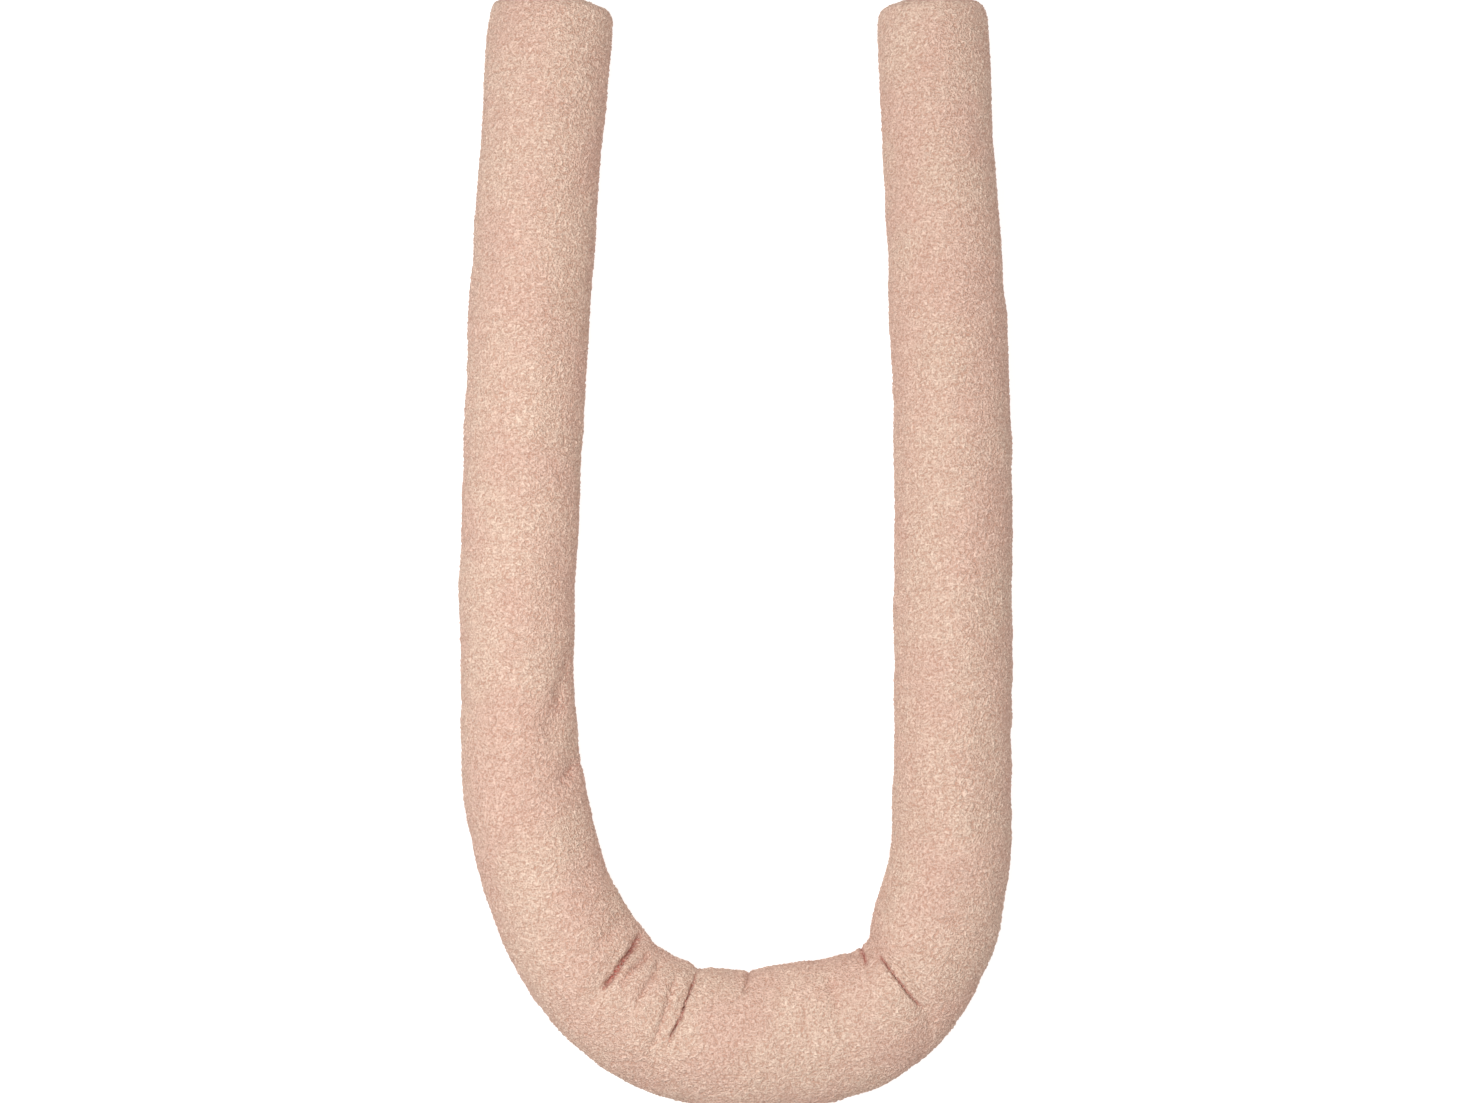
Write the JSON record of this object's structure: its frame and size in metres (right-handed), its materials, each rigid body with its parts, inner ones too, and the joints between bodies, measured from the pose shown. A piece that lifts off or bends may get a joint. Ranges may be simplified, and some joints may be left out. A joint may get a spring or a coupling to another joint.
{
  "type": "decorative pillow",
  "caption": "Long stuffed tube pillow of curly plush, bent into a U and lying flat, with a round panel sewn into each end.",
  "frame": {"origin": "on the floor, under the middle of the pillow's box", "axes": "+Z up from the floor the pillow lies on, +Y from the bend to the open ends, +X to the right as seen from above with +Y up"},
  "size_m": [0.4726, 0.9539, 0.0931],
  "materials": {
    "pink_plush": "matt curly plush pile"
  },
  "bodies": {
    "root": {"pillow": "pink_plush", "end_panel_left": "pink_plush", "end_panel_right": "pink_plush"}
  },
  "joints": []
}
